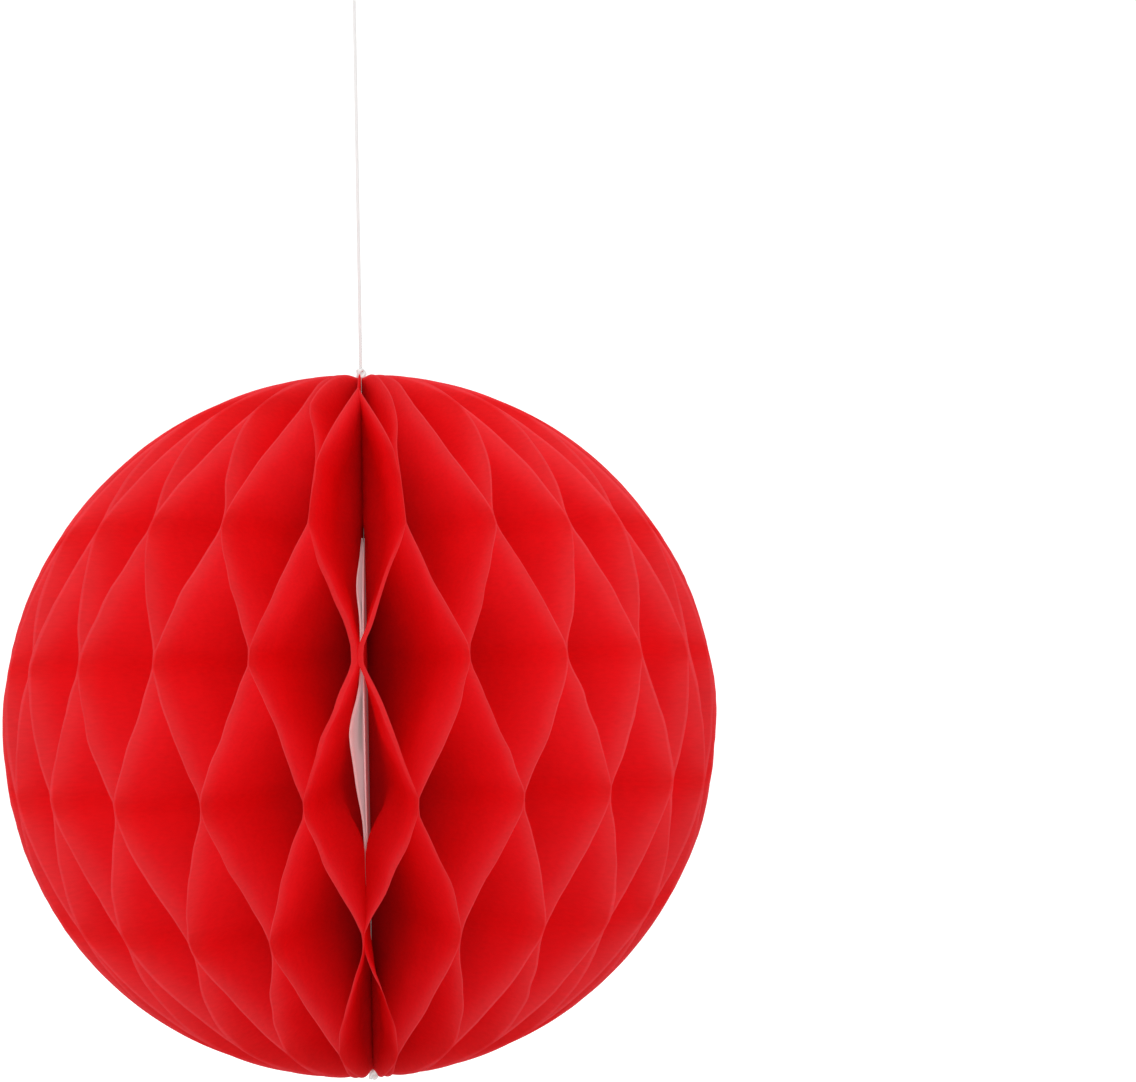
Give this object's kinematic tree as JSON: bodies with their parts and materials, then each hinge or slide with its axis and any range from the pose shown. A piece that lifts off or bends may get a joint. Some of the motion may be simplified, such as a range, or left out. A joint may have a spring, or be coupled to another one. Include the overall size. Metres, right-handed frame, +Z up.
{
  "type": "paper honeycomb ball",
  "caption": "Red tissue-paper honeycomb ball that folds flat, with card covers joined at a seam, hung by a thread and loop.",
  "frame": {"origin": "where the hanging loop bears on its hook, on the ball's vertical axis", "axes": "+Z up along the thread and the ball's spine, -Y towards the seam where the two covers meet, +X towards the first cover's side"},
  "size_m": [0.2002, 0.1996, 0.3561],
  "materials": {
    "red_tissue": "matte",
    "white_card": "matte",
    "adhesive_pad": "satin",
    "white_thread": "matte"
  },
  "bodies": {
    "hanger": {"hanging_loop": "white_thread", "loop_knot": "white_thread"},
    "tether": {"string": "white_thread"},
    "crown": {"top_knot": "white_thread"},
    "ball": {"tissue_leaf_01": "red_tissue", "card_cover_right": "white_card", "adhesive_pad_upper": "adhesive_pad", "adhesive_pad_middle": "adhesive_pad", "adhesive_pad_lower": "adhesive_pad", "spine_thread": "white_thread", "bottom_knot": "white_thread"},
    "fan_01": {"tissue_leaf_02": "red_tissue"},
    "fan_02": {"tissue_leaf_03": "red_tissue"},
    "fan_03": {"tissue_leaf_04": "red_tissue"},
    "fan_04": {"tissue_leaf_05": "red_tissue"},
    "fan_05": {"tissue_leaf_06": "red_tissue"},
    "fan_06": {"tissue_leaf_07": "red_tissue"},
    "fan_07": {"tissue_leaf_08": "red_tissue"},
    "fan_08": {"tissue_leaf_09": "red_tissue"},
    "fan_09": {"tissue_leaf_10": "red_tissue"},
    "fan_10": {"tissue_leaf_11": "red_tissue"},
    "fan_11": {"tissue_leaf_12": "red_tissue"},
    "fan_12": {"tissue_leaf_13": "red_tissue"},
    "fan_13": {"tissue_leaf_14": "red_tissue"},
    "fan_14": {"tissue_leaf_15": "red_tissue"},
    "fan_15": {"tissue_leaf_16": "red_tissue"},
    "fan_16": {"tissue_leaf_17": "red_tissue"},
    "fan_17": {"tissue_leaf_18": "red_tissue"},
    "fan_18": {"tissue_leaf_19": "red_tissue"},
    "fan_19": {"tissue_leaf_20": "red_tissue"},
    "fan_20": {"tissue_leaf_21": "red_tissue"},
    "fan_21": {"tissue_leaf_22": "red_tissue"},
    "fan_22": {"tissue_leaf_23": "red_tissue"},
    "fan_23": {"tissue_leaf_24": "red_tissue"},
    "fan_24": {"tissue_leaf_25": "red_tissue"},
    "fan_25": {"tissue_leaf_26": "red_tissue"},
    "fan_26": {"tissue_leaf_27": "red_tissue"},
    "fan_27": {"tissue_leaf_28": "red_tissue"},
    "fan_28": {"tissue_leaf_29": "red_tissue"},
    "fan_29": {"tissue_leaf_30": "red_tissue"},
    "fan_30": {"tissue_leaf_31": "red_tissue"},
    "fan_31": {"tissue_leaf_32": "red_tissue"},
    "fan_32": {"tissue_leaf_33": "red_tissue"},
    "fan_33": {"tissue_leaf_34": "red_tissue"},
    "fan_34": {"tissue_leaf_35": "red_tissue"},
    "fan_35": {"tissue_leaf_36": "red_tissue"},
    "fan_36": {"tissue_leaf_37": "red_tissue"},
    "fan_37": {"tissue_leaf_38": "red_tissue"},
    "fan_38": {"tissue_leaf_39": "red_tissue"},
    "fan_39": {"tissue_leaf_40": "red_tissue"},
    "fan_40": {"tissue_leaf_41": "red_tissue"},
    "fan_41": {"tissue_leaf_42": "red_tissue"},
    "fan_42": {"tissue_leaf_43": "red_tissue"},
    "fan_43": {"tissue_leaf_44": "red_tissue"},
    "fan_44": {"tissue_leaf_45": "red_tissue"},
    "fan_45": {"tissue_leaf_46": "red_tissue"},
    "fan_46": {"tissue_leaf_47": "red_tissue"},
    "fan_47": {"tissue_leaf_48": "red_tissue"},
    "fan_48": {"card_cover_left": "white_card"}
  },
  "joints": [
    {"name": "thread_swing", "type": "hinge", "parent": "hanger", "child": "tether", "pos_m": [0, 0, -0.03415], "axis": [0, 1, 0], "range_deg": [-30, 30]},
    {"name": "ball_nod", "type": "hinge", "parent": "tether", "child": "crown", "pos_m": [0, 0, -0.15115], "axis": [1, 0, 0], "range_deg": [-20, 20]},
    {"name": "ball_swivel", "type": "hinge", "parent": "crown", "child": "ball", "pos_m": [0, 0, -0.15115], "axis": [0, 0, 1], "continuous": true},
    {"name": "fold_01", "type": "hinge", "parent": "ball", "child": "fan_01", "pos_m": [0, 0, -0.15115], "axis": [0, 0, 1], "range_deg": [-7.25, 0], "deforming": ["tissue_leaf_01"]},
    {"name": "fold_02", "type": "hinge", "parent": "fan_01", "child": "fan_02", "pos_m": [0, 0, -0.15115], "axis": [0, 0, 1], "range_deg": [-7.25, 0], "deforming": ["tissue_leaf_02"]},
    {"name": "fold_03", "type": "hinge", "parent": "fan_02", "child": "fan_03", "pos_m": [0, 0, -0.15115], "axis": [0, 0, 1], "range_deg": [-7.25, 0], "deforming": ["tissue_leaf_03"]},
    {"name": "fold_04", "type": "hinge", "parent": "fan_03", "child": "fan_04", "pos_m": [0, 0, -0.15115], "axis": [0, 0, 1], "range_deg": [-7.25, 0], "deforming": ["tissue_leaf_04"]},
    {"name": "fold_05", "type": "hinge", "parent": "fan_04", "child": "fan_05", "pos_m": [0, 0, -0.15115], "axis": [0, 0, 1], "range_deg": [-7.25, 0], "deforming": ["tissue_leaf_05"]},
    {"name": "fold_06", "type": "hinge", "parent": "fan_05", "child": "fan_06", "pos_m": [0, 0, -0.15115], "axis": [0, 0, 1], "range_deg": [-7.25, 0], "deforming": ["tissue_leaf_06"]},
    {"name": "fold_07", "type": "hinge", "parent": "fan_06", "child": "fan_07", "pos_m": [0, 0, -0.15115], "axis": [0, 0, 1], "range_deg": [-7.25, 0], "deforming": ["tissue_leaf_07"]},
    {"name": "fold_08", "type": "hinge", "parent": "fan_07", "child": "fan_08", "pos_m": [0, 0, -0.15115], "axis": [0, 0, 1], "range_deg": [-7.25, 0], "deforming": ["tissue_leaf_08"]},
    {"name": "fold_09", "type": "hinge", "parent": "fan_08", "child": "fan_09", "pos_m": [0, 0, -0.15115], "axis": [0, 0, 1], "range_deg": [-7.25, 0], "deforming": ["tissue_leaf_09"]},
    {"name": "fold_10", "type": "hinge", "parent": "fan_09", "child": "fan_10", "pos_m": [0, 0, -0.15115], "axis": [0, 0, 1], "range_deg": [-7.25, 0], "deforming": ["tissue_leaf_10"]},
    {"name": "fold_11", "type": "hinge", "parent": "fan_10", "child": "fan_11", "pos_m": [0, 0, -0.15115], "axis": [0, 0, 1], "range_deg": [-7.25, 0], "deforming": ["tissue_leaf_11"]},
    {"name": "fold_12", "type": "hinge", "parent": "fan_11", "child": "fan_12", "pos_m": [0, 0, -0.15115], "axis": [0, 0, 1], "range_deg": [-7.25, 0], "deforming": ["tissue_leaf_12"]},
    {"name": "fold_13", "type": "hinge", "parent": "fan_12", "child": "fan_13", "pos_m": [0, 0, -0.15115], "axis": [0, 0, 1], "range_deg": [-7.25, 0], "deforming": ["tissue_leaf_13"]},
    {"name": "fold_14", "type": "hinge", "parent": "fan_13", "child": "fan_14", "pos_m": [0, 0, -0.15115], "axis": [0, 0, 1], "range_deg": [-7.25, 0], "deforming": ["tissue_leaf_14"]},
    {"name": "fold_15", "type": "hinge", "parent": "fan_14", "child": "fan_15", "pos_m": [0, 0, -0.15115], "axis": [0, 0, 1], "range_deg": [-7.25, 0], "deforming": ["tissue_leaf_15"]},
    {"name": "fold_16", "type": "hinge", "parent": "fan_15", "child": "fan_16", "pos_m": [0, 0, -0.15115], "axis": [0, 0, 1], "range_deg": [-7.25, 0], "deforming": ["tissue_leaf_16"]},
    {"name": "fold_17", "type": "hinge", "parent": "fan_16", "child": "fan_17", "pos_m": [0, 0, -0.15115], "axis": [0, 0, 1], "range_deg": [-7.25, 0], "deforming": ["tissue_leaf_17"]},
    {"name": "fold_18", "type": "hinge", "parent": "fan_17", "child": "fan_18", "pos_m": [0, 0, -0.15115], "axis": [0, 0, 1], "range_deg": [-7.25, 0], "deforming": ["tissue_leaf_18"]},
    {"name": "fold_19", "type": "hinge", "parent": "fan_18", "child": "fan_19", "pos_m": [0, 0, -0.15115], "axis": [0, 0, 1], "range_deg": [-7.25, 0], "deforming": ["tissue_leaf_19"]},
    {"name": "fold_20", "type": "hinge", "parent": "fan_19", "child": "fan_20", "pos_m": [0, 0, -0.15115], "axis": [0, 0, 1], "range_deg": [-7.25, 0], "deforming": ["tissue_leaf_20"]},
    {"name": "fold_21", "type": "hinge", "parent": "fan_20", "child": "fan_21", "pos_m": [0, 0, -0.15115], "axis": [0, 0, 1], "range_deg": [-7.25, 0], "deforming": ["tissue_leaf_21"]},
    {"name": "fold_22", "type": "hinge", "parent": "fan_21", "child": "fan_22", "pos_m": [0, 0, -0.15115], "axis": [0, 0, 1], "range_deg": [-7.25, 0], "deforming": ["tissue_leaf_22"]},
    {"name": "fold_23", "type": "hinge", "parent": "fan_22", "child": "fan_23", "pos_m": [0, 0, -0.15115], "axis": [0, 0, 1], "range_deg": [-7.25, 0], "deforming": ["tissue_leaf_23"]},
    {"name": "fold_24", "type": "hinge", "parent": "fan_23", "child": "fan_24", "pos_m": [0, 0, -0.15115], "axis": [0, 0, 1], "range_deg": [-7.25, 0], "deforming": ["tissue_leaf_24"]},
    {"name": "fold_25", "type": "hinge", "parent": "fan_24", "child": "fan_25", "pos_m": [0, 0, -0.15115], "axis": [0, 0, 1], "range_deg": [-7.25, 0], "deforming": ["tissue_leaf_25"]},
    {"name": "fold_26", "type": "hinge", "parent": "fan_25", "child": "fan_26", "pos_m": [0, 0, -0.15115], "axis": [0, 0, 1], "range_deg": [-7.25, 0], "deforming": ["tissue_leaf_26"]},
    {"name": "fold_27", "type": "hinge", "parent": "fan_26", "child": "fan_27", "pos_m": [0, 0, -0.15115], "axis": [0, 0, 1], "range_deg": [-7.25, 0], "deforming": ["tissue_leaf_27"]},
    {"name": "fold_28", "type": "hinge", "parent": "fan_27", "child": "fan_28", "pos_m": [0, 0, -0.15115], "axis": [0, 0, 1], "range_deg": [-7.25, 0], "deforming": ["tissue_leaf_28"]},
    {"name": "fold_29", "type": "hinge", "parent": "fan_28", "child": "fan_29", "pos_m": [0, 0, -0.15115], "axis": [0, 0, 1], "range_deg": [-7.25, 0], "deforming": ["tissue_leaf_29"]},
    {"name": "fold_30", "type": "hinge", "parent": "fan_29", "child": "fan_30", "pos_m": [0, 0, -0.15115], "axis": [0, 0, 1], "range_deg": [-7.25, 0], "deforming": ["tissue_leaf_30"]},
    {"name": "fold_31", "type": "hinge", "parent": "fan_30", "child": "fan_31", "pos_m": [0, 0, -0.15115], "axis": [0, 0, 1], "range_deg": [-7.25, 0], "deforming": ["tissue_leaf_31"]},
    {"name": "fold_32", "type": "hinge", "parent": "fan_31", "child": "fan_32", "pos_m": [0, 0, -0.15115], "axis": [0, 0, 1], "range_deg": [-7.25, 0], "deforming": ["tissue_leaf_32"]},
    {"name": "fold_33", "type": "hinge", "parent": "fan_32", "child": "fan_33", "pos_m": [0, 0, -0.15115], "axis": [0, 0, 1], "range_deg": [-7.25, 0], "deforming": ["tissue_leaf_33"]},
    {"name": "fold_34", "type": "hinge", "parent": "fan_33", "child": "fan_34", "pos_m": [0, 0, -0.15115], "axis": [0, 0, 1], "range_deg": [-7.25, 0], "deforming": ["tissue_leaf_34"]},
    {"name": "fold_35", "type": "hinge", "parent": "fan_34", "child": "fan_35", "pos_m": [0, 0, -0.15115], "axis": [0, 0, 1], "range_deg": [-7.25, 0], "deforming": ["tissue_leaf_35"]},
    {"name": "fold_36", "type": "hinge", "parent": "fan_35", "child": "fan_36", "pos_m": [0, 0, -0.15115], "axis": [0, 0, 1], "range_deg": [-7.25, 0], "deforming": ["tissue_leaf_36"]},
    {"name": "fold_37", "type": "hinge", "parent": "fan_36", "child": "fan_37", "pos_m": [0, 0, -0.15115], "axis": [0, 0, 1], "range_deg": [-7.25, 0], "deforming": ["tissue_leaf_37"]},
    {"name": "fold_38", "type": "hinge", "parent": "fan_37", "child": "fan_38", "pos_m": [0, 0, -0.15115], "axis": [0, 0, 1], "range_deg": [-7.25, 0], "deforming": ["tissue_leaf_38"]},
    {"name": "fold_39", "type": "hinge", "parent": "fan_38", "child": "fan_39", "pos_m": [0, 0, -0.15115], "axis": [0, 0, 1], "range_deg": [-7.25, 0], "deforming": ["tissue_leaf_39"]},
    {"name": "fold_40", "type": "hinge", "parent": "fan_39", "child": "fan_40", "pos_m": [0, 0, -0.15115], "axis": [0, 0, 1], "range_deg": [-7.25, 0], "deforming": ["tissue_leaf_40"]},
    {"name": "fold_41", "type": "hinge", "parent": "fan_40", "child": "fan_41", "pos_m": [0, 0, -0.15115], "axis": [0, 0, 1], "range_deg": [-7.25, 0], "deforming": ["tissue_leaf_41"]},
    {"name": "fold_42", "type": "hinge", "parent": "fan_41", "child": "fan_42", "pos_m": [0, 0, -0.15115], "axis": [0, 0, 1], "range_deg": [-7.25, 0], "deforming": ["tissue_leaf_42"]},
    {"name": "fold_43", "type": "hinge", "parent": "fan_42", "child": "fan_43", "pos_m": [0, 0, -0.15115], "axis": [0, 0, 1], "range_deg": [-7.25, 0], "deforming": ["tissue_leaf_43"]},
    {"name": "fold_44", "type": "hinge", "parent": "fan_43", "child": "fan_44", "pos_m": [0, 0, -0.15115], "axis": [0, 0, 1], "range_deg": [-7.25, 0], "deforming": ["tissue_leaf_44"]},
    {"name": "fold_45", "type": "hinge", "parent": "fan_44", "child": "fan_45", "pos_m": [0, 0, -0.15115], "axis": [0, 0, 1], "range_deg": [-7.25, 0], "deforming": ["tissue_leaf_45"]},
    {"name": "fold_46", "type": "hinge", "parent": "fan_45", "child": "fan_46", "pos_m": [0, 0, -0.15115], "axis": [0, 0, 1], "range_deg": [-7.25, 0], "deforming": ["tissue_leaf_46"]},
    {"name": "fold_47", "type": "hinge", "parent": "fan_46", "child": "fan_47", "pos_m": [0, 0, -0.15115], "axis": [0, 0, 1], "range_deg": [-7.25, 0], "deforming": ["tissue_leaf_47"]},
    {"name": "fold_48", "type": "hinge", "parent": "fan_47", "child": "fan_48", "pos_m": [0, 0, -0.15115], "axis": [0, 0, 1], "range_deg": [-7.25, 0], "deforming": ["tissue_leaf_48"]}
  ],
  "couplings": [
    {"joint": "fold_02", "follows": "fold_01", "ratio": 1},
    {"joint": "fold_03", "follows": "fold_01", "ratio": 1},
    {"joint": "fold_04", "follows": "fold_01", "ratio": 1},
    {"joint": "fold_05", "follows": "fold_01", "ratio": 1},
    {"joint": "fold_06", "follows": "fold_01", "ratio": 1},
    {"joint": "fold_07", "follows": "fold_01", "ratio": 1},
    {"joint": "fold_08", "follows": "fold_01", "ratio": 1},
    {"joint": "fold_09", "follows": "fold_01", "ratio": 1},
    {"joint": "fold_10", "follows": "fold_01", "ratio": 1},
    {"joint": "fold_11", "follows": "fold_01", "ratio": 1},
    {"joint": "fold_12", "follows": "fold_01", "ratio": 1},
    {"joint": "fold_13", "follows": "fold_01", "ratio": 1},
    {"joint": "fold_14", "follows": "fold_01", "ratio": 1},
    {"joint": "fold_15", "follows": "fold_01", "ratio": 1},
    {"joint": "fold_16", "follows": "fold_01", "ratio": 1},
    {"joint": "fold_17", "follows": "fold_01", "ratio": 1},
    {"joint": "fold_18", "follows": "fold_01", "ratio": 1},
    {"joint": "fold_19", "follows": "fold_01", "ratio": 1},
    {"joint": "fold_20", "follows": "fold_01", "ratio": 1},
    {"joint": "fold_21", "follows": "fold_01", "ratio": 1},
    {"joint": "fold_22", "follows": "fold_01", "ratio": 1},
    {"joint": "fold_23", "follows": "fold_01", "ratio": 1},
    {"joint": "fold_24", "follows": "fold_01", "ratio": 1},
    {"joint": "fold_25", "follows": "fold_01", "ratio": 1},
    {"joint": "fold_26", "follows": "fold_01", "ratio": 1},
    {"joint": "fold_27", "follows": "fold_01", "ratio": 1},
    {"joint": "fold_28", "follows": "fold_01", "ratio": 1},
    {"joint": "fold_29", "follows": "fold_01", "ratio": 1},
    {"joint": "fold_30", "follows": "fold_01", "ratio": 1},
    {"joint": "fold_31", "follows": "fold_01", "ratio": 1},
    {"joint": "fold_32", "follows": "fold_01", "ratio": 1},
    {"joint": "fold_33", "follows": "fold_01", "ratio": 1},
    {"joint": "fold_34", "follows": "fold_01", "ratio": 1},
    {"joint": "fold_35", "follows": "fold_01", "ratio": 1},
    {"joint": "fold_36", "follows": "fold_01", "ratio": 1},
    {"joint": "fold_37", "follows": "fold_01", "ratio": 1},
    {"joint": "fold_38", "follows": "fold_01", "ratio": 1},
    {"joint": "fold_39", "follows": "fold_01", "ratio": 1},
    {"joint": "fold_40", "follows": "fold_01", "ratio": 1},
    {"joint": "fold_41", "follows": "fold_01", "ratio": 1},
    {"joint": "fold_42", "follows": "fold_01", "ratio": 1},
    {"joint": "fold_43", "follows": "fold_01", "ratio": 1},
    {"joint": "fold_44", "follows": "fold_01", "ratio": 1},
    {"joint": "fold_45", "follows": "fold_01", "ratio": 1},
    {"joint": "fold_46", "follows": "fold_01", "ratio": 1},
    {"joint": "fold_47", "follows": "fold_01", "ratio": 1},
    {"joint": "fold_48", "follows": "fold_01", "ratio": 1}
  ]
}
